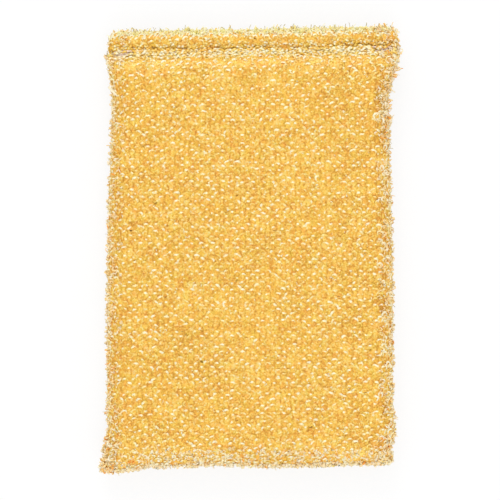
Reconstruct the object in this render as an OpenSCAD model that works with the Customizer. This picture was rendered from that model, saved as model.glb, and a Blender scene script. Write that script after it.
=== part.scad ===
// Cleaning sponge: a foam pad in a knitted tube of gold film yarn. It lies on its back.
// +X is across the pad, +Y runs to the rolled hem and +Z is up through the front.
// The origin is under the middle of the pad, on the face that it rests on.

/* [Filled body] */
// Width of the filled body between its side edges
body_w = 90; // [60:1:140]
// Length from the turned end to the outer edge of the hem
body_l = 140; // [100:1:220]
// Thickness of the filled body over the knit
body_t = 12; // [9:0.5:24]
// How much higher the front is in its middle than along its sides
crown = 0.6; // [0:0.1:1.2]
// How far the sides pull in just below the hem
waist = 0.9; // [0:0.1:2]
// How far the sides swell out in the lower half
belly = 0.5; // [0:0.1:2]
// Length below the hem in which the sides pull in and come out again
waist_l = 50; // [30:1:80]
// Length over which the sides swell out
belly_l = 40; // [20:1:80]
// Length from each end over which its slant dies out
slant_l = 40; // [20:1:60]

/* [Knit] */
// Thickness of the knitted wall
wall_t = 1.4; // [1.2:0.1:2.2]
// Pitch across the width of the bumps that the film loops make
bump_x = 5.6; // [4.5:0.1:9]
// Pitch along the length of the bumps that the film loops make
bump_y = 4.1; // [3.6:0.1:8]
// Height of a bump over the hollows around it
bump_d = 0.7; // [0:0.05:0.8]

/* [Rolled hem] */
// Length of the hem beyond the groove
roll_l = 6; // [4:0.5:12]
// Thickness of the hem
roll_t = 5.6; // [4:0.1:8]
// Thickness of the two knitted layers where the closing seam grips them
groove_t = 3; // [2.6:0.1:4]
// Width of the groove's floor, which the closing seam lies on
groove_w = 2; // [1.8:0.1:3]
// Length over which the body swells from the groove to its full thickness
swell_l = 7; // [5:0.5:16]
// How much further out the hem's right end is than its left end
hem_rise = 1.6; // [0:0.1:3]
// How far the hem's left end stands out past the body
hem_out_l = 1; // [0:0.1:4]
// How far the hem's right end stands out past the body
hem_out_r = 2.9; // [0:0.1:4]
// Length below the groove over which the sides come in from the hem
flare_l = 11.2; // [8:0.1:20]
// How far the hem's outer corners are rounded in
hem_corner = 1.6; // [0:0.1:3]
// Height of the slit between the two layers at the mouth of the tube
mouth_gap = 0.3; // [0.2:0.05:0.6]

/* [Turned end] */
// Thickness of the folded edge at the turned end
fold_t = 3; // [2.6:0.1:5]
// Length over which the body tapers to the folded edge
taper_l = 9; // [6:0.5:16]
// Length of the seam allowance that is turned inside
allow_l = 6; // [4:0.5:9]
// Thickness of the seam allowance's two layers
allow_t = 2.4; // [1.6:0.1:3]
// Gap between the seam allowance and the side walls
allow_gap = 2.5; // [2:0.1:4]
// How far the left corner stands out past the body
corner_out_l = 2.6; // [0:0.1:4]
// How far the right corner stands out past the body
corner_out_r = 1.7; // [0:0.1:4]
// How much further down the left corner is than the right one
end_drop = 2.2; // [0:0.1:4]
// Length over which the corners flare out
corner_l = 22; // [10:1:40]

/* [Foam core] */
// Gap between the foam and the knit that wraps it
core_gap = 0.3; // [0.2:0.05:0.6]
// Length over which each end of the foam is rounded
core_round = 5; // [2:0.5:8]

/* [Sewing thread] */
// Thickness of the sewing thread
thread_d = 0.6; // [0.3:0.05:0.7]
// Gap between the thread and the knit that it grips
thread_gap = 0.15; // [0.1:0.05:0.25]
// Length of one stitch
stitch_l = 4.2; // [3.2:0.1:6]
// Distance of a seam's first and last stitches from the side edges
seam_inset = 3.5; // [3:0.5:8]
// Stitches at each end of the closing seam that are sewn over again
tack_n = 2; // [0:1:8]
// Gap between the rows of a back-tack
tack_gap = 0.08; // [0.05:0.01:0.15]
// Gap between the legs of a loop in a needle hole
loop_gap = 0.12; // [0.08:0.01:0.2]

/* [Hidden] */

gold = [0.93, 0.74, 0.34];
foam_yellow = [0.95, 0.86, 0.55];
thread_cream = [0.93, 0.82, 0.70];

mid_z = body_t / 2;
body_s = roll_l + groove_w;
seam_s = roll_l + groove_w / 2;
side_n = 6;
top_n = 2 * round(body_w / bump_x);
roll_n = 6;
row_n = 2 * round((body_l - body_s) / bump_y);
core_top_n = 6;
rod_sides = 6;
rest_cut = 0.1;

// Curves that the outline and the thickness follow
function smooth(u) = u <= 0 ? 0 : u >= 1 ? 1 : u * u * (3 - 2 * u);
function round_up(u) = u >= 1 ? 1 : sqrt(max(0, 1 - (1 - u) * (1 - u)));
function window(u) = smooth(4 * u) * (1 - smooth((u - 0.25) / 0.75));

// A place along the length is s, its distance from the hem's outer edge
function length_y(s) = body_l / 2 - s;
function waist_in(s) = waist * window((s - body_s - swell_l / 2) / waist_l);
function belly_out(s) = belly * smooth((s - body_l / 3) / belly_l);
function hem_out(s) = 1 - smooth((s - body_s) / flare_l);
function hem_in(s) = hem_corner * (1 - round_up(2 * s / roll_l));
function corner_out(s) = 1 - smooth((body_l - s) / corner_l);
function body_side(s) = body_w / 2 - waist_in(s) + belly_out(s) - hem_in(s);
function left_side(s) = body_side(s) + hem_out_l * hem_out(s) + corner_out_l * corner_out(s);
function right_side(s) = body_side(s) + hem_out_r * hem_out(s) + corner_out_r * corner_out(s);

// The hem and the turned end both lie a little aslant
function hem_slope(s) = hem_rise / body_w * (1 - smooth((s - body_s) / slant_l));
function end_slope(s) = end_drop / body_w * (1 - smooth((body_l - s) / slant_l));
function place_y(s, x) = length_y(s) + x * (hem_slope(s) + end_slope(s));

// Half of the thickness over the knit
function roll_half(s) = roll_t / 2 * sqrt(max(0, 1 - pow(2 * s / roll_l - 1, 2)));
function swell_half(s) = groove_t / 2 + (mid_z - groove_t / 2) * round_up((s - body_s) / swell_l);
function taper_half(s) = fold_t / 2 + (mid_z - fold_t / 2) * round_up((body_l - s) / taper_l);
function half(s) = s < roll_l ? max(groove_t / 2, roll_half(s))
    : s <= body_s ? groove_t / 2
    : min(swell_half(s), taper_half(s));

// One point of a section: the top from left to right, then round the right side and the left
// side. A section has a place s, half heights h, left and right reaches and a bump depth.
function round_angle(i, n) = i <= n + side_n ? 90 - 180 * (i - n) / side_n
    : -90 - 180 * (i - n - side_n - 1) / side_n;
function on_top(i, n) = i <= n;
function under(i, n) = i == n + side_n || i == n + side_n + 1;
function top_x(i, n, h, left, right) = h - left + (left + right - 2 * h) * i / n;
function crown_z(i, n, h) = crown * h / mid_z * pow(2 * i / n - 1, 2);
function side_x(i, n, h, d, left, right) = i <= n + side_n
    ? right - h + (h - d) * cos(round_angle(i, n))
    : h - left + (h - d) * cos(round_angle(i, n));
function side_z(i, n, h, d) = let (a = round_angle(i, n))
    sin(a) > 0 ? (h - d - crown * h / mid_z) * sin(a) : (h - d) * sin(a);
function section_x(i, n, h, d, left, right) = on_top(i, n)
    ? top_x(i, n, h, left, right) : side_x(i, n, h, d, left, right);
function section_z(i, n, h, d) = on_top(i, n) ? h - d - crown_z(i, n, h) : side_z(i, n, h, d);
function bump(i, j, n, depth) = under(i, n) ? (depth > 0 ? -rest_cut : 0)
    : (i + j) % 2 == 0 ? 0 : depth;
function section(n, j, s, h, left, right, depth) = [for (i = [0 : n + 2 * side_n])
    let (d = bump(i, j, n, depth), x = section_x(i, n, h, d, left, right))
    [x, place_y(s, x), mid_z + section_z(i, n, h, d)]];

// A closed skin over a row of sections that all have the same number of points
function quad(a, b, c, d) = [[a, b, c], [a, c, d]];
function band(j, n) = [for (i = [0 : n - 1])
    each quad(j * n + i, j * n + (i + 1) % n, (j + 1) * n + (i + 1) % n, (j + 1) * n + i)];
function fan(first, n, flip) = [for (i = [1 : n - 2])
    flip ? [first, first + i, first + i + 1] : [first, first + i + 1, first + i]];

module skin(sections) {
    n = len(sections[0]);
    last = len(sections) - 1;
    faces = concat(
        fan(0, n, false),
        [for (j = [0 : last - 1]) each band(j, n)],
        fan(last * n, n, true));
    polyhedron(points = [for (section = sections) each section], faces = faces);
}

// Places of the outer sections, from the turned end to the hem's outer edge
outer_places = concat(
    [for (j = [0 : row_n]) body_l - (body_l - body_s) * j / row_n],
    [for (j = [0 : roll_n]) roll_l * (1 - j / roll_n)]);
function outer_depth(s) = s <= 0 || s >= body_l || (s >= roll_l && s <= body_s) ? 0 : bump_d;
function outer_section(j) = let (s = outer_places[j])
    section(top_n, j, s, half(s), left_side(s), right_side(s), outer_depth(s));

// Places of the inner sections, from the mouth to the turned end, each with its half height
hollow_swell = [0.35, 0.65, 1];
hollow_taper = [1, 0.55, 0.3];
hollow_end = body_l - wall_t;
slit_end = body_s + 0.1 * swell_l;
function hollow_half(s) = half(s) - wall_t;
hollow_places = concat(
    [for (u = hollow_swell) body_s + u * swell_l],
    [for (u = hollow_taper) body_l - max(wall_t, u * taper_l)],
    [hollow_end]);
function inner_section(s, h, inset) =
    section(top_n, 0, s, h, left_side(s) - inset, right_side(s) - inset, 0);
inner_sections = concat(
    [inner_section(0, mouth_gap / 2, wall_t)],
    [inner_section(slit_end, mouth_gap / 2, wall_t)],
    [for (s = hollow_places) inner_section(s, hollow_half(s), wall_t)]);

// The seam allowance is a tongue that points into the hollow from the turned end
allow_inset = wall_t + allow_gap;
allow_tip = hollow_end - allow_l;
allow_sections = [
    inner_section(hollow_end, allow_t / 2, allow_inset),
    inner_section(allow_tip, allow_t / 2, allow_inset)];

// Places across the width where the needle went through
function seam_count(s) = max(2, round(
    (left_side(s) + right_side(s) - 2 * seam_inset) / stitch_l));
function seam_x(k, s) = -left_side(s) + seam_inset
    + k * (left_side(s) + right_side(s) - 2 * seam_inset) / seam_count(s);

// The sections of a thread along a path, square to it or mitred where it bends
function unit(v) = v / norm(v);
function heading(path, i) = unit(path[min(i + 1, len(path) - 1)] - path[min(i, len(path) - 2)]);
function mitred(v, m, grow) = norm(m) > 0 ? v + unit(m) * (v * unit(m)) * (grow - 1) : v;
function thread_section(path, i, up) = let (
    before = heading(path, max(i - 1, 0)),
    after = heading(path, i),
    along = unit(before + after),
    across = unit(up - along * (up * along)),
    third = cross(along, across))
    [for (k = [0 : rod_sides - 1]) let (a = 360 * k / rod_sides)
        path[i] + mitred(thread_d / 2 * (across * cos(a) + third * sin(a)),
            after - before, 1 / (along * before))];
module thread(path, up) {
    skin([for (i = [0 : len(path) - 1]) thread_section(path, i, up)]);
}

// A seam's needle hole, with room for the thread
module stitch_hole(at, width, height) {
    translate(at)
        cube([width + 2 * thread_gap, thread_d + 2 * thread_gap, height], center = true);
}

// The closing seam lies on the groove's floor on both faces
stitch_z = groove_t / 2 + thread_gap + thread_d / 2;
loop_r = (thread_d + loop_gap) / 2;
tack_end = (loop_r + thread_d + loop_gap / 2) / stitch_l;
closing_count = seam_count(seam_s);
function closing_point(k, row, z) = let (x = seam_x(k, seam_s))
    [x, place_y(seam_s, x) + row * (thread_d + tack_gap), z];

// The turned seam whips over the allowance's raw edge
turned_s = hollow_end - allow_l / 2;
turned_tip = allow_tip - thread_gap - thread_d / 2;
turned_z = allow_t / 2 + thread_gap + thread_d / 2;
turned_inset = allow_inset + allow_t;
turned_span = left_side(turned_s) + right_side(turned_s) - 2 * turned_inset;
turned_count = max(2, round(turned_span / stitch_l));
function turned_x(k) = turned_inset - left_side(turned_s) + k * turned_span / turned_count;
function turned_point(k, s, face) = let (x = turned_x(k))
    [x, place_y(s, x), mid_z + face * turned_z];

// The knit lies pressed flat on what it rests on
module resting_plane() {
    translate([-body_w, -body_l, -1])
        cube([2 * body_w, 2 * body_l, 1]);
}

module knit_jacket() {
    color(gold)
        difference() {
            skin(concat(
                [for (j = [0 : len(outer_places) - 1]) outer_section(j)],
                inner_sections,
                allow_sections));
            for (k = [0 : closing_count])
                stitch_hole(closing_point(k, 0, mid_z), 2 * loop_r + thread_d, 2 * groove_t);
            for (k = [0 : turned_count])
                stitch_hole(turned_point(k, turned_s, 0), thread_d, allow_t + thread_d);
            resting_plane();
        }
}

// The foam is a block whose edges the taut knit rounds over
core_half = mid_z - wall_t - core_gap;
core_side = body_w / 2 - waist - wall_t - core_gap;
core_start = body_s + 0.4 * swell_l;
core_end = allow_tip - thread_gap - thread_d - core_gap;
core_rounding = [0.02, 0.1, 0.3, 0.6, 1];
core_places = concat(
    [for (u = core_rounding) core_end - u * core_round],
    [for (k = [len(core_rounding) - 1 : -1 : 0]) core_start + core_rounding[k] * core_round]);
function core_height(s) =
    core_half * round_up(min(s - core_start, core_end - s) / core_round);
module foam_core() {
    color(foam_yellow)
        skin([for (s = core_places)
            section(core_top_n, 0, s, core_height(s), core_side, core_side, 0)]);
}

// Two threads lie on the two faces and meet as loops in every needle hole
function loop_of(k, face) = let (at = closing_point(k, 0, mid_z), aside = [loop_r, 0, 0],
    surface = [0, 0, face * stitch_z], depth = [0, 0, face * loop_r])
    [at - aside + surface, at - aside + depth, at + aside + depth, at + aside + surface];
function closing_row(face) = [for (k = [0 : closing_count]) each loop_of(k, face)];

// A back-tack runs beside the seam, round its end and back on the other side
module tack(from, to, face) {
    z = mid_z + face * stitch_z;
    thread([
        closing_point(to, -1, z),
        closing_point(from, -1, z),
        closing_point(from, 1, z),
        closing_point(to, 1, z)], [0, 0, 1]);
}

module closing_seam() {
    color(thread_cream)
        for (face = [-1, 1]) {
            thread(closing_row(face), [0, 1, 0]);
            if (tack_n > 0) {
                tack(-tack_end, tack_n, face);
                tack(closing_count + tack_end, closing_count - tack_n, face);
            }
        }
}

// One thread goes over the raw edge, under it and up through the next needle hole
turned_path = [for (k = [0 : turned_count - 1]) each [
    turned_point(k, turned_s, 1),
    turned_point(k + 0.5, turned_tip, 1),
    turned_point(k + 0.5, turned_tip, -1),
    turned_point(k + 1, turned_s, -1)]];
module turned_seam() {
    color(thread_cream) thread(turned_path, [1, 0, 0]);
}

knit_jacket();
foam_core();
closing_seam();
turned_seam();
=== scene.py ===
# Cleaning sponge: a foam pad in a knitted tube of gold film, lying on its back, seen from above.
# Lengths are in millimetres up to the point where a mesh is made.
import math

import bpy
import numpy as np
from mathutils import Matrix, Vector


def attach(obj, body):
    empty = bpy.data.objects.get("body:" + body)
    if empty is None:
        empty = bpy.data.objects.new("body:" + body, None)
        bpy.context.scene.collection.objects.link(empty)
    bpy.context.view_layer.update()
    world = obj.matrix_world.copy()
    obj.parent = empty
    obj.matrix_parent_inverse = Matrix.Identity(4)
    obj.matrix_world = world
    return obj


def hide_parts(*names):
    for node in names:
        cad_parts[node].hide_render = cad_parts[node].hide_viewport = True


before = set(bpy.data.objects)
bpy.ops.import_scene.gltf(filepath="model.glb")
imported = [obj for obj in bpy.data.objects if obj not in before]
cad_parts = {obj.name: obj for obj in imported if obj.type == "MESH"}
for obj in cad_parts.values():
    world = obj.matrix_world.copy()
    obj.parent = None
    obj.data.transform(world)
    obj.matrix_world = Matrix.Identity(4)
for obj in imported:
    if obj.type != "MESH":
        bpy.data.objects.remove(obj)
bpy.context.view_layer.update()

MM = 0.001
TINY = 1e-9

# Every random draw comes from here
rng = np.random.default_rng(7)

# Sizes that the solids have
BODY_W, BODY_L, BODY_T = 90.0, 140.0, 12.0
CROWN, WAIST, BELLY = 0.6, 0.9, 0.5
WAIST_L, BELLY_L, SLANT_L = 50.0, 40.0, 40.0
ROLL_L, ROLL_T, HEM_CORNER = 6.0, 5.6, 1.6
GROOVE_T, GROOVE_W, SWELL_L = 3.0, 2.0, 7.0
HEM_RISE, HEM_OUT_L, HEM_OUT_R, FLARE_L = 1.6, 1.0, 2.9, 11.2
FOLD_T, TAPER_L, CORNER_L = 3.0, 9.0, 22.0
CORNER_OUT_L, CORNER_OUT_R, END_DROP = 2.6, 1.7, 2.2
WALL_T, CORE_GAP, CORE_ROUND = 1.4, 0.3, 5.0
THREAD_D, THREAD_GAP, STITCH_L, SEAM_INSET, TACK_N = 0.6, 0.15, 4.2, 3.5, 2
TACK_GAP, LOOP_GAP, ALLOW_L, ALLOW_T, ALLOW_GAP = 0.08, 0.12, 6.0, 2.4, 2.5
MID_Z = BODY_T / 2
BODY_S = ROLL_L + GROOVE_W
SEAM_S = ROLL_L + GROOVE_W / 2

# How far the loose knit is drawn in from the solids' outline, along each side
LEFT_IN = {"hem": 1.3, "neck": 0.5, "foot": 1.1, "foot_l": 20.0, "end": 0.5}
RIGHT_IN = {"hem": 1.2, "neck": 0.1, "foot": 2.0, "foot_l": 12.0, "end": 1.8}
HEM_ROUND, HEM_EASE = 5.0, 4.0
NECK_START, NECK_END, NECK_EASE = 3.0, 18.0, 6.0
FOOT_EASE, FOOT_BACK, END_ROUND = 8.0, 5.0, 6.0

# The turned end's edge runs in. It starts at one place across, and is less from a second one on
HOLLOW, HOLLOW_L, HOLLOW_LESS = 1.1, 12.0, 0.75
HOLLOW_START_X, HOLLOW_START_EASE = -40.0, 8.0
HOLLOW_LESS_X, HOLLOW_LESS_EASE = -8.0, 14.0


# Curves that the outline and the thickness follow
def smooth(u):
    """From 0 to 1, level at both ends."""
    u = np.clip(u, 0, 1)
    return u * u * (3 - 2 * u)


def round_up(u):
    """A quarter of a circle, from 0 to 1."""
    return np.sqrt(np.clip(1 - np.clip(1 - u, 0, 1) ** 2, 0, 1))


def window(u):
    """Up over the first quarter, and down again over the rest."""
    return smooth(4 * u) * (1 - smooth((u - 0.25) / 0.75))


def bell(v, centre, reach):
    return np.exp(-((v - centre) / reach) ** 2)


def body_side(s):
    waist_in = WAIST * window((s - BODY_S - SWELL_L / 2) / WAIST_L)
    belly_out = BELLY * smooth((s - BODY_L / 3) / BELLY_L)
    hem_in = HEM_CORNER * (1 - round_up(2 * s / ROLL_L))
    return BODY_W / 2 - waist_in + belly_out - hem_in


def hem_out(s):
    return 1 - smooth((s - BODY_S) / FLARE_L)


def corner_out(s):
    return 1 - smooth((BODY_L - s) / CORNER_L)


def left_side(s):
    return body_side(s) + HEM_OUT_L * hem_out(s) + CORNER_OUT_L * corner_out(s)


def right_side(s):
    return body_side(s) + HEM_OUT_R * hem_out(s) + CORNER_OUT_R * corner_out(s)


def drawn_in(s, hem, neck, foot, foot_l, end):
    """How far the loose knit is drawn in from the solids' outline."""
    at_hem = 0.5 * (1 - smooth((s - ROLL_L) / HEM_EASE)) + 1 - round_up(s / HEM_ROUND)
    at_neck = smooth((s - BODY_S) / NECK_START) * (1 - smooth((s - NECK_END) / NECK_EASE))
    at_foot = smooth((s - BODY_L + foot_l) / FOOT_EASE)
    at_foot = at_foot * (1 - 0.5 * smooth((s - BODY_L + FOOT_BACK) / FOOT_BACK))
    at_end = 1 - round_up((BODY_L - s) / END_ROUND)
    return hem * at_hem + neck * at_neck + foot * at_foot + end * at_end


def knit_sides(s):
    """How far the loose knit reaches to the left and to the right."""
    return left_side(s) - drawn_in(s, **LEFT_IN), right_side(s) - drawn_in(s, **RIGHT_IN)


def end_hollow(s, x):
    """How far the turned end's edge runs in."""
    start = smooth((x - HOLLOW_START_X) / HOLLOW_START_EASE)
    less = 1 - HOLLOW_LESS * smooth((x - HOLLOW_LESS_X) / HOLLOW_LESS_EASE)
    return HOLLOW * (start * less) * smooth((s - BODY_L + HOLLOW_L) / HOLLOW_L)


def place_y(s, x):
    hem_slope = HEM_RISE / BODY_W * (1 - smooth((s - BODY_S) / SLANT_L))
    end_slope = END_DROP / BODY_W * (1 - smooth((BODY_L - s) / SLANT_L))
    return BODY_L / 2 - s + x * (hem_slope + end_slope)


def half(s):
    """Half thickness of the sponge at a distance s from the hem's outer edge."""
    roll = ROLL_T / 2 * np.sqrt(np.clip(1 - (2 * s / ROLL_L - 1) ** 2, 0, 1))
    swell = GROOVE_T / 2 + (MID_Z - GROOVE_T / 2) * round_up((s - BODY_S) / SWELL_L)
    fold = np.where(BODY_L - s < FOLD_T / 2, FOLD_T / 2 * round_up(2 * (BODY_L - s) / FOLD_T),
                    FOLD_T / 2)
    taper = fold + (MID_Z - fold) * round_up((BODY_L - s) / TAPER_L)
    low = np.where(s < ROLL_L / 2, roll, np.maximum(GROOVE_T / 2, roll))
    return np.where(s < BODY_S, low, np.minimum(swell, taper))


# The way from the hem's outer edge, over the front, to the turned end. A place on it is t
ROLL_STEPS, GROOVE_STEPS, SWELL_STEPS, BODY_STEPS, TAPER_STEPS = 60, 12, 40, 60, 90
way_s = np.concatenate([
    ROLL_L / 2 * (1 - np.cos(np.linspace(0, math.pi, ROLL_STEPS))),
    np.linspace(ROLL_L, BODY_S, GROOVE_STEPS)[1:],
    BODY_S + SWELL_L * (1 - np.cos(np.linspace(0, math.pi / 2, SWELL_STEPS)))[1:],
    np.linspace(BODY_S + SWELL_L, BODY_L - TAPER_L, BODY_STEPS)[1:],
    BODY_L - TAPER_L + TAPER_L * np.sin(np.linspace(0, math.pi / 2, TAPER_STEPS))[1:]])
way_h = half(way_s)
way_t = np.concatenate([[0], np.cumsum(np.hypot(np.diff(way_s), np.diff(way_h)))])
WAY = way_t[-1]


def at_way(t):
    return np.interp(t, way_t, way_s), np.interp(t, way_t, way_h)


# Places round a section, as f. It runs from the middle of the front over the right side
FRONT, RIGHT, LEFT = 0.0, 0.25, 0.75


def ring(f, t):
    """Points of the knit's outer face."""
    s, h = at_way(t)
    left, right = knit_sides(s)
    flat, arc = left + right - 2 * h, math.pi * h
    f = np.mod(f, 1)
    mirrored = f > 0.5
    g = np.where(mirrored, 1 - f, f) * 2 * (flat + arc)
    on_top, below = g <= flat / 2, g >= flat / 2 + arc
    angle = np.clip((g - flat / 2) / np.maximum(h, TINY), 0, math.pi)
    reach = np.where(on_top, g, np.where(below, flat + arc - g, flat / 2 + h * np.sin(angle)))
    top = h - CROWN * h / MID_Z * np.clip(2 * reach / np.maximum(flat, TINY), 0, 1) ** 2
    round_h = np.where(angle < math.pi / 2, h - CROWN * h / MID_Z, h)
    z = np.where(on_top, top, np.where(below, -h, np.cos(angle) * round_h))
    x = (right - left) / 2 + np.where(mirrored, -reach, reach)
    return np.stack([x, place_y(s, x) + end_hollow(s, x), MID_Z + z], -1)


def unit(v):
    return v / np.maximum(np.linalg.norm(v, axis=-1, keepdims=True), TINY)


def skin_frame(f, t):
    """A place of the outer face, its outward normal, and its directions across and along."""
    step_f, step_t = 0.0012, 0.12
    t = np.clip(t, 0, WAY)
    across = unit(ring(f + step_f, t) - ring(f - step_f, t))
    along = unit(ring(f, np.minimum(t + step_t, WAY)) - ring(f, np.maximum(t - step_t, 0)))
    normal = unit(np.cross(along, across))
    return ring(f, t), normal, across, unit(np.cross(across, normal))


def pressed(normal):
    """1 where the knit faces down and lies pressed under the body."""
    return smooth((-normal[..., 2] - 0.75) / 0.2)


def sideways(normal, start, ease):
    """1 where the knit faces sideways, and 0 where it faces up or down."""
    return 1 - smooth((np.abs(normal[..., 2]) - start) / ease)


def over_seam(s):
    """Half thickness of the knit where it is drawn together over the closing seam."""
    film_over, rise_by = 0.2, 0.35
    crease_s, crease_ease, crease_d = 6.6, 0.6, 0.45
    cover = GROOVE_T / 2 + THREAD_GAP + THREAD_D + film_over
    crease = -crease_d * smooth((crease_s - s) / crease_ease)
    rise = rise_by * np.maximum(0, s - SEAM_S)
    return np.maximum(half(s), cover + np.where(s < crease_s, crease, rise))


def soft_noise(rows, cols, cells_r, cells_c):
    """Smooth noise from -1 to 1 over a grid, periodic along the rows."""
    grid = rng.uniform(-1, 1, (cells_r, cells_c))
    r = np.arange(rows) * cells_r / rows
    c = np.arange(cols) * (cells_c - 1) / max(cols - 1, 1)
    r0, c0 = np.floor(r).astype(int), np.minimum(np.floor(c).astype(int), cells_c - 2)
    u, v = smooth(r - r0)[:, None], smooth(c - c0)[None, :]
    a, b = grid[r0 % cells_r][:, c0], grid[(r0 + 1) % cells_r][:, c0]
    p, q = grid[r0 % cells_r][:, c0 + 1], grid[(r0 + 1) % cells_r][:, c0 + 1]
    return (a * (1 - u) + b * u) * (1 - v) + (p * (1 - u) + q * u) * v


# Materials
def tree(name):
    """A new material, its node tree and its shader."""
    mat = bpy.data.materials.new(name)
    mat.use_nodes = True
    nt = mat.node_tree
    return mat, nt, nt.nodes["Principled BSDF"]


def node(nt, kind, **values):
    """A new node. A value goes to the input of its name, or else to the node's own setting."""
    n = nt.nodes.new(kind)
    for key, value in values.items():
        if key in n.inputs:
            n.inputs[key].default_value = value
        else:
            setattr(n, key, value)
    return n


def srgb(r, g, b):
    """A screen colour of 0 to 255 as linear light."""
    def line(c):
        c /= 255
        return c / 12.92 if c <= 0.04045 else ((c + 0.055) / 1.055) ** 2.4
    return (line(r), line(g), line(b), 1)


def ramp(nt, source, stops):
    """The colour that a value picks between the stops."""
    n = nt.nodes.new("ShaderNodeValToRGB")
    elements = n.color_ramp.elements
    while len(elements) < len(stops):
        elements.new(0.5)
    for e, (place, colour) in zip(elements, stops):
        e.position = place
        e.color = srgb(*colour)
    nt.links.new(source, n.inputs["Fac"])
    return n.outputs["Color"]


def pattern(nt, kind, output, **values):
    """A texture that is fixed to the object."""
    place = node(nt, "ShaderNodeTexCoord")
    texture = node(nt, kind, **values)
    nt.links.new(place.outputs["Object"], texture.inputs["Vector"])
    return texture.outputs[output]


def mapped(nt, source, low, high, source_low=0.0, source_high=1.0):
    n = node(nt, "ShaderNodeMapRange", **{
        "From Min": source_low, "From Max": source_high, "To Min": low, "To Max": high})
    nt.links.new(source, n.inputs["Value"])
    return n.outputs["Result"]


def bumped(nt, bsdf, source, strength, distance):
    bump = node(nt, "ShaderNodeBump", Strength=strength, Distance=distance)
    nt.links.new(source, bump.inputs["Height"])
    nt.links.new(bump.outputs["Normal"], bsdf.inputs["Normal"])


# Noise seldom leaves this range
NOISE_LOW, NOISE_HIGH = 0.3, 0.7


def film_material(name, stops, metallic=0.0, roughness=0.5, crumpled=0.24, gloss=None):
    """Film: each point's tone picks its gold, and slow noise turns it to orange or to olive."""
    mat, nt, bsdf = tree(name)
    tone = node(nt, "ShaderNodeAttribute", attribute_name="tone")
    crumple = pattern(nt, "ShaderNodeTexNoise", "Fac", Scale=1500.0, Detail=2.0, Roughness=0.6)
    both = node(nt, "ShaderNodeMath", operation="ADD")
    nt.links.new(tone.outputs["Fac"], both.inputs[0])
    nt.links.new(mapped(nt, crumple, -crumpled, crumpled, NOISE_LOW, NOISE_HIGH), both.inputs[1])
    drift = pattern(nt, "ShaderNodeTexNoise", "Fac", Scale=420.0, Detail=2.0, Roughness=0.6)
    turn = node(nt, "ShaderNodeHueSaturation")
    nt.links.new(mapped(nt, drift, 0.487, 0.508, NOISE_LOW, NOISE_HIGH), turn.inputs["Hue"])
    nt.links.new(ramp(nt, both.outputs["Value"], stops), turn.inputs["Color"])
    nt.links.new(turn.outputs["Color"], bsdf.inputs["Base Color"])
    grain = pattern(nt, "ShaderNodeTexNoise", "Fac", Scale=1800.0, Detail=1.0)
    nt.links.new(mapped(nt, grain, roughness - 0.12, roughness + 0.12), bsdf.inputs["Roughness"])
    bumped(nt, bsdf, grain, 0.4, 0.0001)
    bsdf.inputs["Metallic"].default_value = metallic
    if gloss:
        bsdf.inputs["Specular Tint"].default_value = srgb(*gloss)
    return mat


def thread_material():
    mat, nt, bsdf = tree("thread")
    fibre = pattern(nt, "ShaderNodeTexNoise", "Fac", Scale=2600.0, Detail=2.0)
    cream = ramp(nt, fibre, [(0.25, (250, 216, 184)), (0.5, (255, 230, 206)), (0.8, (255, 244, 228))])
    nt.links.new(cream, bsdf.inputs["Base Color"])
    bumped(nt, bsdf, fibre, 0.4, 0.00005)
    bsdf.inputs["Roughness"].default_value = 0.6
    bsdf.inputs["Sheen Weight"].default_value = 0.25
    return mat


def foam_material():
    mat, nt, bsdf = tree("foam")
    cells = pattern(nt, "ShaderNodeTexVoronoi", "Distance", Scale=900.0)
    pale = ramp(nt, cells, [(0.0, (206, 178, 104)), (0.35, (236, 212, 142)), (0.7, (248, 228, 164))])
    nt.links.new(pale, bsdf.inputs["Base Color"])
    bumped(nt, bsdf, cells, 0.8, 0.0003)
    bsdf.inputs["Roughness"].default_value = 0.9
    return mat


WARM_GLOSS = (255, 216, 140)
film = film_material("gold_film", [
    (0.00, (220, 160, 52)),
    (0.12, (236, 181, 63)),
    (0.28, (245, 199, 80)),
    (0.50, (249, 215, 116)),
    (0.75, (253, 232, 164)),
    (1.00, (255, 247, 208))], metallic=0.2, roughness=0.42, crumpled=0.33)
ground = film_material("gold_ground", [
    (0.00, (228, 163, 52)),
    (0.50, (247, 195, 73)),
    (1.00, (252, 222, 126))], metallic=0.1, crumpled=0.5)
tips = film_material("pale_film", [
    (0.00, (250, 168, 70)),
    (0.25, (255, 196, 98)),
    (0.50, (255, 218, 144)),
    (0.75, (255, 234, 182)),
    (1.00, (255, 245, 214))], gloss=WARM_GLOSS)
lemon = film_material("lemon_film", [
    (0.00, (248, 206, 100)),
    (0.20, (254, 222, 112)),
    (0.50, (255, 239, 148)),
    (1.00, (255, 251, 203))], gloss=WARM_GLOSS)
dark_tips = film_material("dark_tips", [
    (0.00, (182, 170, 112)),
    (0.40, (236, 218, 150)),
    (1.00, (255, 248, 208))], gloss=WARM_GLOSS)


# Meshes
def new_object(name, points, quads, mat, sharp=True):
    """An object with faces of four corners each."""
    mesh = bpy.data.meshes.new(name)
    mesh.vertices.add(len(points))
    mesh.vertices.foreach_set("co", (points * MM).astype(np.float32).ravel())
    mesh.loops.add(quads.size)
    mesh.polygons.add(len(quads))
    mesh.loops.foreach_set("vertex_index", quads.astype(np.int32).ravel())
    mesh.polygons.foreach_set("loop_start", (np.arange(len(quads)) * 4).astype(np.int32))
    mesh.update(calc_edges=True)
    mesh.validate()
    if not sharp:
        mesh.shade_smooth()
    obj = bpy.data.objects.new(name, mesh)
    bpy.context.scene.collection.objects.link(obj)
    mesh.materials.append(mat)
    return obj


def set_tone(obj, values):
    layer = obj.data.attributes.new("tone", "FLOAT", "POINT")
    layer.data.foreach_set("value", values.astype(np.float32).ravel())


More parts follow.
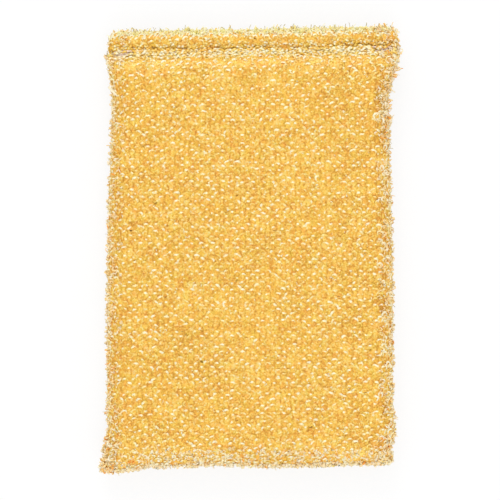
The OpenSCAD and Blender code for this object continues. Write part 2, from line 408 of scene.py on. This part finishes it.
def tube_quads(cols, rows):
    """Point numbers of a grid whose columns go round a tube, and the quads between them."""
    grid = np.arange(cols * rows).reshape(cols, rows)
    beside = np.roll(grid, -1, axis=0)
    quads = np.stack([grid[:, :-1], beside[:, :-1], beside[:, 1:], grid[:, 1:]], -1)
    return grid, quads.reshape(-1, 4)


FILM_T = 0.05


def film_ribbons(name, path, normal, width, tone, mat):
    """Closed flat strips. path and normal are strips x places x 3, width and tone strips x places."""
    rows, cols = path.shape[:2]
    along = unit(np.gradient(path, axis=1))
    out = unit(normal - along * np.sum(normal * along, -1, keepdims=True))
    wide = np.cross(out, along)
    w, t = width[..., None] / 2, FILM_T / 2
    corners = np.stack([path + wide * w + out * t, path - wide * w + out * t,
                        path - wide * w - out * t, path + wide * w - out * t], 2)
    base = (np.arange(rows)[:, None] * cols + np.arange(cols - 1)[None, :])[..., None] * 4
    k = np.arange(4)
    quads = np.stack([base + k, base + (k + 1) % 4, base + 4 + (k + 1) % 4, base + 4 + k], -1)
    first = np.arange(rows)[:, None] * cols * 4
    caps = np.concatenate([first + k[::-1], first + (cols - 1) * 4 + k])
    piece = new_object(name, corners.reshape(-1, 3), np.concatenate([quads.reshape(-1, 4), caps]), mat)
    set_tone(piece, np.repeat(tone.ravel(), 4))
    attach(piece, "root")


# The knit: yarns of film run from the hem to the turned end and step between two wales
WALES, ABOUT_L = 120, 1.23
YARNS = WALES // 2
COURSES = round(WAY / ABOUT_L)
COURSE_L = WAY / COURSES
PERIMETER = round(2 * (BODY_W - BODY_T) + math.pi * BODY_T, 1)
LOOP = np.array([
    # across, along, outward; in millimetres, for a loop that the yarn enters on its left
    [-0.34, -0.95, -0.26],
    [-0.62, -0.34, 0.02],
    [-0.74, 0.36, 0.18],
    [-0.40, 0.60, 0.29],
    [0.00, 0.65, 0.33],
    [0.40, 0.60, 0.29],
    [0.74, 0.36, 0.18],
    [0.62, -0.34, 0.02],
    [0.34, -0.95, -0.26],
    [-0.35, -0.12, -0.7]])
PLACES, HEAD = len(LOOP), 4

# The outward sizes count by this part, and the strips lie a little under the outer face
RELIEF, SKIN_DEPTH = 0.3, 0.12

# The film's width at each place of a loop, and its painted shade there: a darker tone where the loop dips
# low and a paler one at its raised head
OPENING = np.array([0.40, 0.48, 0.56, 0.61, 0.63, 0.61, 0.56, 0.48, 0.40, 0.45])
LOOP_PAINTED_SHADE = np.array([-0.12, -0.10, -0.02, 0.03, 0.05, 0.03, -0.02, -0.10, -0.12, -0.16])

# How much one loop differs from the next
SIZE_VARIES, LEAN_VARIES, LIFT_VARIES = 0.16, 0.38, 0.28
ACROSS_VARIES, ALONG_VARIES, OUT_VARIES = 0.15, 0.16, 0.02
ROW_LEAN = 0.12

course = np.arange(COURSES)[None, :, None]
# Rows where the painted glints come more often; the loops' lean also turns by them
bright_row = course % 4 < 2
ONE_EACH = (YARNS, COURSES, 1)


def each_loop(spread):
    """One random value for each loop, the same at all its places."""
    return rng.normal(0, spread, ONE_EACH).repeat(PLACES, 2).reshape(YARNS, -1)


def loop_places():
    """Where the yarns' places are: round the section, along the way and out from the skin."""
    enters = np.where(course % 2 == 0, 1.0, -1.0)
    grow = rng.normal(1, SIZE_VARIES, ONE_EACH)
    shift_a = rng.normal(0, ACROSS_VARIES, ONE_EACH)
    shift_b = rng.normal(0, ALONG_VARIES, ONE_EACH)
    lift = rng.normal(0, LIFT_VARIES, ONE_EACH)
    lean = rng.normal(0, LEAN_VARIES, ONE_EACH) + np.where(bright_row, ROW_LEAN, -ROW_LEAN)
    a, b, w = LOOP[:, 0] * enters, LOOP[:, 1], LOOP[:, 2]
    a, b = a * grow + lean * b + shift_a, b * grow - lean * a * 0.9 + shift_b
    w = RELIEF * w * (1 + lift) + OUT_VARIES * rng.normal(0, 1, (YARNS, COURSES, PLACES))
    wale = 2 * np.arange(YARNS)[:, None, None] + np.where(course % 2 == 0, 0, 1) + 0.5
    f = wale * (1.0 / WALES) + a / PERIMETER
    t = WAY - ((course + 0.5) * COURSE_L + b)
    return f.reshape(YARNS, -1), t.reshape(YARNS, -1), w.reshape(YARNS, -1)


f_at, t_at, w_at = loop_places()
from_end = WAY - t_at

# Towards the turned end and over the roll the loops lie in less order
DISORDER, JITTER = 0.5, 0.14
LOOSE_END_L, LOOSE_END_EASE = 16.0, 12.0
LOOSE_ROLL_L, LOOSE_ROLL_EASE, ROLL_PART = 13.0, 14.0, 0.6
at_end = smooth((LOOSE_END_L - from_end) / LOOSE_END_EASE)
at_roll = ROLL_PART * (1 - smooth((t_at - LOOSE_ROLL_L) / LOOSE_ROLL_EASE))
disorder = np.maximum(at_end, at_roll)
f_at = f_at + disorder * (each_loop(DISORDER) + rng.normal(0, JITTER, f_at.shape)) / PERIMETER
t_at = t_at + disorder * (each_loop(DISORDER) + rng.normal(0, JITTER, t_at.shape))

# What would stand past either end is folded back
END_GAP = 0.02
t_at = np.clip(WAY - np.abs(WAY - np.abs(t_at)), END_GAP, WAY - END_GAP)
from_end = WAY - t_at
point, normal, _, _ = skin_frame(f_at, t_at)
s_at, h_at = at_way(t_at)

# Under the body the loops are pressed flat, and the groove's stitches pull them in
PRESSED_RELIEF, PRESSED_DEPTH, BODY_EASE = 0.35, 0.38, 1.2
GRIP, GRIP_REACH = 0.6, 0.9 * GROOVE_W
down = pressed(normal) * smooth(h_at - MID_Z + BODY_EASE)
w_at = w_at * (1 - down) + down * (PRESSED_RELIEF * w_at - PRESSED_DEPTH)
w_at = w_at * (1 - GRIP * (1 - smooth(np.abs(s_at - SEAM_S) / GRIP_REACH)))

# Between the back-tacks the loops lie over the stitches
NEAR_TACK = SEAM_INSET + STITCH_L + 0.8
TACK_EASE, PAST_GROOVE, GROOVE_EASE, UNDER_TOP = 2.0, 0.4, 0.6, 0.3
left_at, right_at = knit_sides(s_at)
from_side = np.minimum(point[..., 0] + left_at, right_at - point[..., 0])
on_stitches = smooth((from_side - NEAR_TACK) / TACK_EASE)
on_stitches = on_stitches * (1 - smooth((s_at - BODY_S - PAST_GROOVE) / GROOVE_EASE))
on_stitches = on_stitches * (1 - sideways(normal, 0.5, 0.4))
w_at = w_at + on_stitches * np.maximum(over_seam(s_at) - UNDER_TOP - h_at, 0)

# Along the edges and at the turned end the loops stand out loosely
STAND_OUT, HEAD_REACH = 0.3, 2.2
side = sideways(normal, 0.2, 0.75)
loose = np.maximum(side, smooth((7 - from_end) / 5)) * smooth(t_at / 2)
head = np.tile(bell(np.arange(PLACES), HEAD, HEAD_REACH), COURSES)[None, :]
w_at = w_at + loose * np.abs(each_loop(STAND_OUT)) * head * (1 - down)
path = point + normal * (w_at - SKIN_DEPTH)[..., None]

# Every strip twists as crumpled film does, and along the edges it turns up
TWIST, TURNED_UP, WIDTH_VARIES = 0.22, 0.8, 0.2
twist = rng.normal(0, TWIST, f_at.shape)
twist = 0.5 * twist + 0.5 * np.roll(twist, 1, axis=1)
tangent = unit(np.gradient(path, axis=1))
facing = normal + np.cross(tangent, normal) * twist[..., None] * (1 - 0.8 * down[..., None])
upwards = TURNED_UP * side * smooth((normal[..., 2] + 0.6) * 2)
facing = unit(facing + upwards[..., None] * [0, 0, 1])
width = np.tile(OPENING, COURSES)[None, :] * rng.normal(1, WIDTH_VARIES, f_at.shape)

# Painted glints: some stitches get a paler tone painted on part of the loop, where opened film would
# catch the light, and the film is a little wider there
BASE_TONE, TONE_VARIES, PAINTED_GLINT, OFTEN, SELDOM = 0.28, 0.15, 0.82, 0.9, 0.34
tone = BASE_TONE + TONE_VARIES * rng.normal(0, 1, f_at.shape) + np.tile(LOOP_PAINTED_SHADE, COURSES)[None, :]
often = np.where(bright_row, OFTEN, SELDOM)
strength = np.where(rng.random(ONE_EACH) < often,
                    rng.uniform(0.6, 1.1, ONE_EACH), rng.uniform(0.05, 0.5, ONE_EACH))
centre = rng.choice([2.8, 3.4, 3.8, 4.0, 4.2, 4.6, 5.2], ONE_EACH)
painted_glint = strength * bell(np.arange(PLACES), centre, rng.uniform(0.8, 1.6, ONE_EACH))
painted_glint = painted_glint.reshape(YARNS, -1)
tone += PAINTED_GLINT * painted_glint
width = np.clip(width + 0.04 * painted_glint, 0.25, 1.0)

# Painted light: the film is made paler in bands across the upper face, on the roll's top and the swell,
# which face the lamp beyond the hem, and at the roll's foot and in the groove, against the shade there.
# Each has its middle, its reach and how pale it is
PAINTED_LIGHT_BANDS = {
    "hem": (1.0, 1.3, 0.9),
    "roll_foot": (5.4, 0.8, 0.04),
    "groove": (7.6, 1.3, 0.12),
    "swell": (10.5, 2.5, 0.18)}
upper = smooth(normal[..., 2] * 4)
for middle, reach, paler in PAINTED_LIGHT_BANDS.values():
    tone += paler * bell(s_at, middle, reach) * upper

# Painted light: along the sides and at the turned end, which face away from the lamps, the film is made
# paler by a random amount at each place
SIDE_PAINTED_LIGHT, END_PAINTED_LIGHT, END_PAINTED_LIGHT_L, DISORDER_TONE = 0.68, 0.5, 15.0, 0.14
pale = END_PAINTED_LIGHT * smooth((END_PAINTED_LIGHT_L - from_end) / END_PAINTED_LIGHT_L) + SIDE_PAINTED_LIGHT * sideways(normal, 0.3, 0.69)
tone += pale * rng.uniform(-0.15, 1, f_at.shape)
tone += DISORDER_TONE * disorder * rng.normal(0, 1, f_at.shape)

# Along the right edge the loops differ more, and they are a little paler
BAND_START, BAND_L, BAND_EASE = 1.5, 4.5, 2.0
BAND_TONE, BAND_VARIES, EDGE_TONE = 0.03, 0.28, 0.16
from_right = right_at - path[..., 0]
right_band = smooth(from_right / BAND_START) * (1 - smooth((from_right - BAND_L) / BAND_EASE)) * upper
tone += right_band * (BAND_TONE + each_loop(BAND_VARIES))
tone += EDGE_TONE * bell(from_right, 1.8, 1.2) * upper

QUARTERS = 4
for q in range(QUARTERS):
    part = slice(q * YARNS // QUARTERS, (q + 1) * YARNS // QUARTERS)
    film_ribbons(f"film_knit_{q + 1}", path[part], facing[part], width[part], tone[part], film)

# The knit's ground behind the loops
GROUND_DEPTH, GROUND_DEEPER = 0.19, 0.4
GROUND_COLS, GROUND_ROWS = 168, 150


def ground_points():
    """The skin's points, sunk behind the loops. Each end closes along its middle."""
    cols, rows = GROUND_COLS, GROUND_ROWS
    f, t = np.meshgrid(np.arange(cols) / cols, np.linspace(0, WAY, rows), indexing="ij")
    point, normal, _, _ = skin_frame(f, t)
    swell = 0.05 * soft_noise(cols, rows, 40, 36) + 0.03 * soft_noise(cols, rows, 84, 75)
    depth = GROUND_DEPTH + swell + GROUND_DEEPER * pressed(normal)
    points = point - normal * depth[..., None]
    for end in (0, -1):
        points[:, end, 2] = MID_Z
    return points.reshape(-1, 3)


points = ground_points()
knit_ground = new_object("knit_ground", points, tube_quads(GROUND_COLS, GROUND_ROWS)[1], ground,
                         sharp=False)
set_tone(knit_ground, 0.5 + 0.3 * soft_noise(GROUND_COLS, GROUND_ROWS, 84, 75))
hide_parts("knit_jacket")
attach(knit_ground, "root")

# Loose film: hairs and little loops stand out all over, most of all along the edges
HAIR_PLACES = 6
ROOT_DEPTH, FLOOR_CLEAR = 0.25, 0.15
HAIR_SHADES = [0.3, 0.6, 0.95, 1.1]


def loose_film(count, around, spread, start, stop, reach, lean, looped, dark=0.14, broad=1.0, base=0.55):
    """Strands that start on the skin. lean is from 0, upright, to 1, along the skin. looped and
    dark are the shares of strands that bend back to the skin and that have dark tips."""
    f = around + spread * rng.uniform(-1, 1, count)
    t = rng.uniform(start, stop, count)
    root, out, across, along = skin_frame(f, t)
    turn = rng.uniform(0, 2 * math.pi, count)[:, None]
    flat = across * np.cos(turn) + along * np.sin(turn)
    aside = across * -np.sin(turn) + along * np.cos(turn)
    tilt = (lean * rng.uniform(0.5, 1.4, count))[:, None]
    way = unit(out * (1 - np.clip(tilt, 0, 0.9)) + flat * tilt)
    bend = unit(np.cross(way, rng.normal(0, 1, (count, 3))))
    size = (reach * rng.uniform(0.45, 1.25, count))[:, None, None]
    u = np.linspace(0, 1, HAIR_PLACES)[None, :, None]
    straight = size * (u * way[:, None] + 0.5 * u * u * bend[:, None])
    open_by = rng.uniform(0.4, 1.0, count)[:, None, None]
    arc = size * (np.sin(math.pi * u) * 0.85 * way[:, None] + (u - 0.5) * open_by * aside[:, None]
                  + 0.25 * u * bend[:, None])
    pick = (rng.random(count) < looped)[:, None, None]
    route = root[:, None] - ROOT_DEPTH * out[:, None] + np.where(pick, arc, straight)
    facing = unit(np.cross(way, bend)) * np.sign(rng.normal(0, 1, (count, 1)))
    facing = np.repeat(unit(0.45 * facing + [0, 0, 1.0])[:, None], HAIR_PLACES, 1)
    looped_w = rng.uniform(0.2, 0.42, count)[:, None]
    hair_w = rng.uniform(0.12, 0.24, count)[:, None]
    wide = broad * np.where(pick[..., 0], looped_w, hair_w)
    wide = wide * rng.uniform(0.75, 1.25, (count, HAIR_PLACES))
    shade = np.maximum(rng.choice(HAIR_SHADES, count), base)
    shade = np.where(rng.random(count) < dark, rng.uniform(0.0, 0.1, count), shade)
    tones = base + (shade[:, None] - base) * smooth(1.8 * np.linspace(0, 1, HAIR_PLACES)[None, :])
    keep = route[..., 2].min(1) > FLOOR_CLEAR
    return route[keep], facing[keep], wide[keep], tones[keep]


def stray(points, wide):
    """A pale strand that has come loose at the left edge. Its ends are narrower."""
    points = np.array(points)
    at = np.linspace(0, len(points) - 1, HAIR_PLACES)
    route = np.stack([np.interp(at, np.arange(len(points)), points[:, k]) for k in range(3)], -1)
    facing = np.broadcast_to(np.array([-0.3, 0.0, 1.0]), route.shape)
    narrowed = wide * (0.45 + 0.55 * np.sin(math.pi * np.linspace(0.1, 0.9, HAIR_PLACES)))
    return route[None], unit(facing)[None], narrowed[None], np.ones((1, HAIR_PLACES))


# Rows of loops over the closing seam. The two under the roll are uneven, and the roll's shade is painted
# on them as darker tones; the rows in the groove get painted light
ROW_PAINTED_SHADE_AND_LIGHT = np.array([-0.12, -0.34, 0.0, 0.2, 0.12, 0.0])
SEAM_ROWS, ROLL_ROWS = len(ROW_PAINTED_SHADE_AND_LIGHT), 2
FIRST_ROW_S, ROW_STEP, ROW_INSET = 5.0, 0.66, 0.9
LUMPS, LUMPS_X = 42, 50.0


def seam_loops(count, face, lift=0.0, pale=1.0):
    """The heads of the loops over the closing seam. Fewer lie over its back-tacks."""
    total = SEAM_ROWS * count
    row = np.repeat(np.arange(SEAM_ROWS), count)
    nth = np.tile(np.arange(count), SEAM_ROWS)
    under_roll = row < ROLL_ROWS
    s = FIRST_ROW_S + ROW_STEP * row + rng.normal(0, 1, total) * np.where(under_roll, 0.3, 0.18)
    left, right = knit_sides(s)
    place = (nth + 0.5 * (row % 2) + rng.normal(0, 0.15, total)) / count
    x = ROW_INSET - left + (left + right - 2 * ROW_INSET) * np.clip(place, 0, 1)
    lumps = np.interp(x, np.linspace(-LUMPS_X, LUMPS_X, LUMPS), rng.normal(0, 0.32, LUMPS))
    s = s + lumps * (1 - row / SEAM_ROWS)
    u = np.linspace(-1, 1, HAIR_PLACES)[None, :]
    reach = rng.uniform(0.55, 0.95, total)[:, None]
    slant = rng.normal(0, 0.3, total)[:, None]
    xs = x[:, None] + reach * u
    ss = s[:, None] + 0.4 * u * u + slant * u
    height = over_seam(ss) + lift + rng.uniform(-0.05, 0.2, total)[:, None] - 0.3 * u ** 2
    route = np.stack([xs, place_y(ss, xs), MID_Z + face * height], -1)
    facing = np.concatenate([rng.normal(0, 0.25, (total, 1, 2)), np.full((total, 1, 1), face)], -1)
    facing = np.repeat(unit(facing), HAIR_PLACES, 1)
    wide = rng.uniform(0.55, 0.85, (total, 1)) * (1 - 0.35 * u * u)
    head = bell(u, rng.normal(0, 0.3, (total, 1)), 0.5)
    # Painted glints: a paler tone on each loop's head
    painted_head_glint = rng.choice([-0.1, 0.2, 0.7, 1.0], (total, 1))
    shaded = rng.choice([-0.1, 0.0, 0.1], total) + ROW_PAINTED_SHADE_AND_LIGHT[row]
    # Painted shade: the strands' low ends are a little darker, and pale scales the whole tone down for
    # the lower layer under the upper loops
    tones = pale * (0.4 - 0.1 * u * u + painted_head_glint * head + shaded[:, None])
    far = np.minimum(x + left, right - x) > NEAR_TACK
    keep = under_roll | (row == SEAM_ROWS - 1) | ((row + nth) % 4 == 0) | far
    return route[keep], facing[keep], wide[keep], tones[keep]


def film_piece(name, strands, mat):
    route, facing, wide, tones = [np.concatenate(part) for part in zip(*strands)]
    film_ribbons(name, route, facing, wide, tones, mat)


film_piece("film_loops", [
    loose_film(700, FRONT, 0.20, 4, WAY - 4, reach=0.8, lean=0.85, looped=0.95, dark=0.0),
    loose_film(150, FRONT, 0.235, 6.0, 8.4, reach=1.0, lean=0.85, looped=1.0, dark=0.1, broad=1.8),
    seam_loops(74, 1),
    seam_loops(74, -1),
    # A lower layer, with tones scaled down: painted shade under the upper loops
    seam_loops(66, 1, lift=-0.22, pale=0.7),
    seam_loops(66, -1, lift=-0.22, pale=0.7)], film)

# The fringe grows a little above the middle of each side
SIDE_IN, SIDE_SPREAD = 0.014, 0.026
film_piece("film_fringe", [
    loose_film(640, RIGHT - SIDE_IN, SIDE_SPREAD, 0, WAY, reach=1.5, lean=0.45, looped=0.85, dark=0.05,
               broad=1.3, base=0.6),
    loose_film(640, LEFT + SIDE_IN, SIDE_SPREAD, 0, WAY, reach=1.5, lean=0.45, looped=0.85, dark=0.05,
               broad=1.3, base=0.6),
    loose_film(70, RIGHT, 0.04, 0, 13, reach=1.9, lean=0.4, looped=0.8, dark=0.15, broad=1.3),
    loose_film(50, LEFT, 0.04, 0, 13, reach=1.2, lean=0.4, looped=0.8, dark=0.15, broad=1.3),
    loose_film(120, RIGHT, 0.03, 17, 40, reach=2.2, lean=0.45, looped=0.85, dark=0.1, broad=1.5),
    loose_film(60, RIGHT, 0.04, WAY - 12, WAY, reach=1.3, lean=0.5, looped=0.85, dark=0.15, broad=1.6),
    loose_film(90, LEFT, 0.04, WAY - 14, WAY, reach=1.7, lean=0.45, looped=0.85, dark=0.15, broad=1.7),
    stray([(-45.2, 51.5, 9.4), (-44.6, 50.9, 10.9), (-43.9, 50.3, 12.2), (-43.0, 49.3, 12.4),
           (-42.3, 48.4, 12.3)], 0.7),
    stray([(-44.8, 52.0, 10.2), (-44.5, 51.2, 11.4), (-44.2, 50.2, 12.3), (-43.6, 49.6, 12.5),
           (-42.7, 49.3, 12.4)], 0.4)], tips)
film_piece("film_hem", [
    loose_film(240, FRONT, 0.235, 0, 3.0, reach=1.6, lean=0.35, looped=0.45, dark=0.1),
    loose_film(420, FRONT, 0.24, 0.3, 2.8, reach=0.9, lean=0.5, looped=0.9, dark=0.04, broad=1.3,
               base=0.75)], lemon)
film_piece("film_end", [
    loose_film(560, FRONT, 0.24, WAY - 9, WAY - 1, reach=1.1, lean=0.8, looped=0.9, dark=0.05,
               broad=1.9, base=0.65),
    loose_film(340, FRONT, 0.24, WAY - 3.4, WAY - 1.0, reach=1.4, lean=0.4, looped=0.85, dark=0.05,
               broad=1.9, base=0.75)], tips)
film_piece("film_tips", [
    loose_film(60, FRONT, 0.235, 0, 1.0, reach=1.6, lean=0.35, looped=0.2, dark=1.0, broad=0.9, base=0.9),
    loose_film(45, RIGHT, 0.02, 0, WAY, reach=1.5, lean=0.4, looped=0.2, dark=1.0, broad=0.9, base=0.9),
    loose_film(45, LEFT, 0.02, 0, WAY, reach=1.5, lean=0.4, looped=0.2, dark=1.0, broad=0.9, base=0.9)],
    dark_tips)

# Sewing thread: three plies twisted round each other
PLIES, PLY_SIDES, PLY_PITCH = 3, 6, 2.0
PLY_OUT, PLY_R = 0.25 * THREAD_D, 0.27 * THREAD_D
sewing = thread_material()


def rounded(way):
    """Cuts a path's corners twice, keeping its ends."""
    for _ in range(2):
        a, b = way[:-1], way[1:]
        cut = np.stack([0.75 * a + 0.25 * b, 0.25 * a + 0.75 * b], 1).reshape(-1, 3)
        way = np.concatenate([way[:1], cut[1:-1], way[-1:]])
    return way


def circle(angle, first, second, radius):
    """Points at an angle round a path, between two directions across it."""
    return radius * (np.cos(angle)[..., None] * first + np.sin(angle)[..., None] * second)


def plied(way, up, spacing):
    """Points and quads of a twisted thread along a path."""
    way = rounded(np.array(way, float))
    run = np.concatenate([[0], np.cumsum(np.linalg.norm(np.diff(way, axis=0), axis=1))])
    n = max(8, int(run[-1] / spacing))
    at = np.linspace(0, run[-1], n)
    way = np.stack([np.interp(at, run, way[:, k]) for k in range(3)], -1)
    along = unit(np.gradient(way, axis=0))
    first = unit(np.array(up, float) - along * (along @ np.array(up, float))[:, None])
    second = np.cross(along, first)
    points, faces = [], []
    k = np.arange(PLY_SIDES)
    beside = (k + 1) % PLY_SIDES
    for ply in range(PLIES):
        centre = way + circle(2 * math.pi * (ply / PLIES + at / PLY_PITCH), first, second, PLY_OUT)
        angle = 2 * math.pi * k[None, :] / PLY_SIDES
        tube = centre[:, None] + circle(angle, first[:, None], second[:, None], PLY_R)
        base = ply * n * PLY_SIDES
        at_ring = base + np.arange(n - 1)[:, None] * PLY_SIDES
        faces.append(np.stack([at_ring + k, at_ring + beside, at_ring + PLY_SIDES + beside,
                               at_ring + PLY_SIDES + k], -1).reshape(-1, 4))
        # Each end closes with quads over its six corners
        last = base + (n - 1) * PLY_SIDES
        faces.append(np.array([[base + 3, base + 2, base + 1, base],
                               [base + 5, base + 4, base + 3, base],
                               [last, last + 1, last + 2, last + 3],
                               [last, last + 3, last + 4, last + 5]]))
        points.append(tube.reshape(-1, 3))
    return np.concatenate(points), np.concatenate(faces)


def thread_piece(name, routes, replaced, spacing):
    points, faces = [], []
    for way, up in routes:
        p, q = plied(way, up, spacing)
        faces.append(q + sum(len(x) for x in points))
        points.append(p)
    piece = new_object(name, np.concatenate(points), np.concatenate(faces), sewing, sharp=False)
    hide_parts(replaced)
    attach(piece, "root")


# The closing seam: a row of stitches on each face, and a back-tack at each of its ends
seam_left, seam_right = float(left_side(SEAM_S)), float(right_side(SEAM_S))
seam_span = seam_left + seam_right - 2 * SEAM_INSET
seam_count = max(2, round(seam_span / STITCH_L))
stitch_z = GROOVE_T / 2 + THREAD_GAP + THREAD_D / 2
loop_r = (THREAD_D + LOOP_GAP) / 2
tack_end = (loop_r + THREAD_D + LOOP_GAP / 2) / STITCH_L


def seam_point(k, row, z, aside=0.0):
    x = -seam_left + SEAM_INSET + k * seam_span / seam_count
    return [x + aside, float(place_y(SEAM_S, x)) + row * (THREAD_D + TACK_GAP), z]


def seam_routes():
    found = []
    for face in (1, -1):
        high, low = MID_Z + face * stitch_z, MID_Z + face * loop_r
        row = []
        for k in range(seam_count + 1):
            row += [seam_point(k, 0, high, -loop_r), seam_point(k, 0, low, -loop_r),
                    seam_point(k, 0, low, loop_r), seam_point(k, 0, high, loop_r)]
        found.append((row, (0, 1, 0)))
        for start, stop in ((-tack_end, TACK_N),
                            (seam_count + tack_end, seam_count - TACK_N)):
            found.append(([seam_point(stop, -1, high), seam_point(start, -1, high),
                           seam_point(start, 1, high), seam_point(stop, 1, high)], (0, 0, 1)))
    return found


thread_piece("closing_thread", seam_routes(), "closing_seam", 0.25)

# The turned seam whips over the raw edge inside
hollow_end = BODY_L - WALL_T
turned_s = hollow_end - ALLOW_L / 2
turned_tip = hollow_end - ALLOW_L - THREAD_GAP - THREAD_D / 2
turned_z = ALLOW_T / 2 + THREAD_GAP + THREAD_D / 2
turned_inset = WALL_T + ALLOW_GAP + ALLOW_T
turned_left, turned_right = float(left_side(turned_s)), float(right_side(turned_s))
turned_span = turned_left + turned_right - 2 * turned_inset
turned_count = max(2, round(turned_span / STITCH_L))


def turned_point(k, s, face):
    x = turned_inset - turned_left + k * turned_span / turned_count
    return [x, float(place_y(s, x)), MID_Z + face * turned_z]


whip = []
for k in range(turned_count):
    whip += [turned_point(k, turned_s, 1), turned_point(k + 0.5, turned_tip, 1),
             turned_point(k + 0.5, turned_tip, -1), turned_point(k + 1, turned_s, -1)]
thread_piece("turned_thread", [(whip, (1, 0, 0))], "turned_seam", 0.5)

# The foam pad fills the hollow
core_half = MID_Z - WALL_T - CORE_GAP
core_side = BODY_W / 2 - WAIST - WALL_T - CORE_GAP
core_start = BODY_S + 0.4 * SWELL_L
core_end = hollow_end - ALLOW_L - THREAD_GAP - THREAD_D - CORE_GAP
FOAM_COLS, FOAM_ROWS, FOAM_EDGE_ROWS = 96, 60, 14
FOAM_IN, FOAM_THINNEST, FOAM_GRAIN = 0.1, 0.05, 0.02


def squared(wave, power):
    """A sine or cosine made squarer, so that a section has flat faces and round corners."""
    return np.sign(wave) * np.abs(wave) ** power


def foam_points():
    """Sections from end to end, each a flat band with round sides. Both ends are round too."""
    ease = CORE_ROUND * (1 - np.cos(np.linspace(0, math.pi, FOAM_EDGE_ROWS) / 2))
    s = np.concatenate([core_start + ease[:-1],
                        np.linspace(core_start + CORE_ROUND, core_end - CORE_ROUND, FOAM_ROWS),
                        (core_end - ease[::-1])[1:]])
    h = core_half * round_up(np.minimum(s - core_start, core_end - s) / CORE_ROUND)
    turn = 2 * math.pi * (np.arange(FOAM_COLS) + 0.5) / FOAM_COLS
    x = core_side * squared(np.cos(turn), 0.25)[:, None] * np.ones(len(s))
    grain = 1 + FOAM_GRAIN * soft_noise(FOAM_COLS, len(s), 30, 40)
    z = squared(np.sin(turn), 0.5)[:, None] * np.maximum(h - FOAM_IN, FOAM_THINNEST) * grain
    return np.stack([x, place_y(np.broadcast_to(s, x.shape), x), MID_Z + z], -1)


def end_quads(grid):
    """Quads that close both ends of a tube, each from one face to the other."""
    cols, rows = grid.shape
    quads = []
    for j in (0, rows - 1):
        for k in range(cols // 2 - 1):
            quad = [grid[k, j], grid[k + 1, j], grid[cols - 2 - k, j], grid[cols - 1 - k, j]]
            quads.append(quad if j else quad[::-1])
    return np.array(quads)


points = foam_points()
grid, quads = tube_quads(*points.shape[:2])
foam_pad = new_object("foam_pad", points.reshape(-1, 3), np.concatenate([quads, end_quads(grid)]),
                      foam_material(), sharp=False)
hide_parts("foam_core")
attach(foam_pad, "root")

# The camera looks straight down, with the photograph's framing
FRAME_W, FRAME_Y, LENS, SENSOR = 160.0, -0.48, 200.0, 36.0
camera_data = bpy.data.cameras.new("camera")
camera_data.lens = LENS
camera_data.sensor_width = SENSOR
camera = bpy.data.objects.new("camera", camera_data)
camera.location = (0, FRAME_Y * MM, (MID_Z + FRAME_W * LENS / SENSOR) * MM)
bpy.context.scene.collection.objects.link(camera)
bpy.context.scene.camera = camera

# A pale floor that keeps the shadow. From here on lengths are in metres
FLOOR_REACH, FLOOR_DROP, FLOOR_GLOW = 2.5, 0.0001, 0.82


def floor_material():
    """Pale, and mostly white where the camera or a reflection sees it."""
    mat, nt, bsdf = tree("floor")
    bsdf.inputs["Base Color"].default_value = srgb(250, 250, 250)
    bsdf.inputs["Roughness"].default_value = 0.9
    seen = node(nt, "ShaderNodeLightPath")
    either = node(nt, "ShaderNodeMath", operation="MAXIMUM")
    nt.links.new(seen.outputs["Is Camera Ray"], either.inputs[0])
    nt.links.new(seen.outputs["Is Glossy Ray"], either.inputs[1])
    part = node(nt, "ShaderNodeMath", operation="MULTIPLY")
    part.inputs[1].default_value = FLOOR_GLOW
    nt.links.new(either.outputs[0], part.inputs[0])
    glow = node(nt, "ShaderNodeEmission", Strength=1.0)
    mixed = node(nt, "ShaderNodeMixShader")
    nt.links.new(part.outputs[0], mixed.inputs["Fac"])
    nt.links.new(bsdf.outputs["BSDF"], mixed.inputs[1])
    nt.links.new(glow.outputs["Emission"], mixed.inputs[2])
    nt.links.new(mixed.outputs["Shader"], nt.nodes["Material Output"].inputs["Surface"])
    return mat


floor_mesh = bpy.data.meshes.new("floor")
floor_mesh.from_pydata([(-FLOOR_REACH, -FLOOR_REACH, 0), (FLOOR_REACH, -FLOOR_REACH, 0),
                        (FLOOR_REACH, FLOOR_REACH, 0), (-FLOOR_REACH, FLOOR_REACH, 0)],
                       [], [(0, 1, 2, 3)])
floor = bpy.data.objects.new("floor", floor_mesh)
bpy.context.scene.collection.objects.link(floor)
floor.location = (0, 0, -FLOOR_DROP)
floor_mesh.materials.append(floor_material())


# Level light from all round, and large soft lamps beyond the hem, overhead and in front
def level_world(strength):
    """Even light of a given strength, which the camera sees as white."""
    world = bpy.data.worlds.new("world")
    bpy.context.scene.world = world
    world.use_nodes = True
    nt = world.node_tree
    sky = nt.nodes["Background"]
    sky.inputs["Color"].default_value = (1, 1, 1, 1)
    sky.inputs["Strength"].default_value = strength
    white = node(nt, "ShaderNodeBackground", Color=(1, 1, 1, 1), Strength=1.0)
    seen = node(nt, "ShaderNodeLightPath")
    pick = node(nt, "ShaderNodeMixShader")
    nt.links.new(seen.outputs["Is Camera Ray"], pick.inputs["Fac"])
    nt.links.new(sky.outputs["Background"], pick.inputs[1])
    nt.links.new(white.outputs["Background"], pick.inputs[2])
    nt.links.new(pick.outputs["Shader"], nt.nodes["World Output"].inputs["Surface"])


def soft_lamp(name, place, size, watts):
    """A round lamp that is turned to the sponge."""
    data = bpy.data.lights.new(name, "AREA")
    data.shape = "DISK"
    data.size = size
    data.energy = watts
    lamp = bpy.data.objects.new(name, data)
    lamp.location = place
    lamp.rotation_euler = (-Vector(place)).to_track_quat("-Z", "Y").to_euler()
    bpy.context.scene.collection.objects.link(lamp)


level_world(0.84)
soft_lamp("key", (-0.2, 1.1, 0.75), size=0.8, watts=5.2)
soft_lamp("overhead", (0.3, -0.2, 1.3), size=0.5, watts=0.5)
soft_lamp("fill", (0.1, -1.0, 0.8), size=0.8, watts=3.0)

bpy.context.scene.view_settings.view_transform = "Standard"
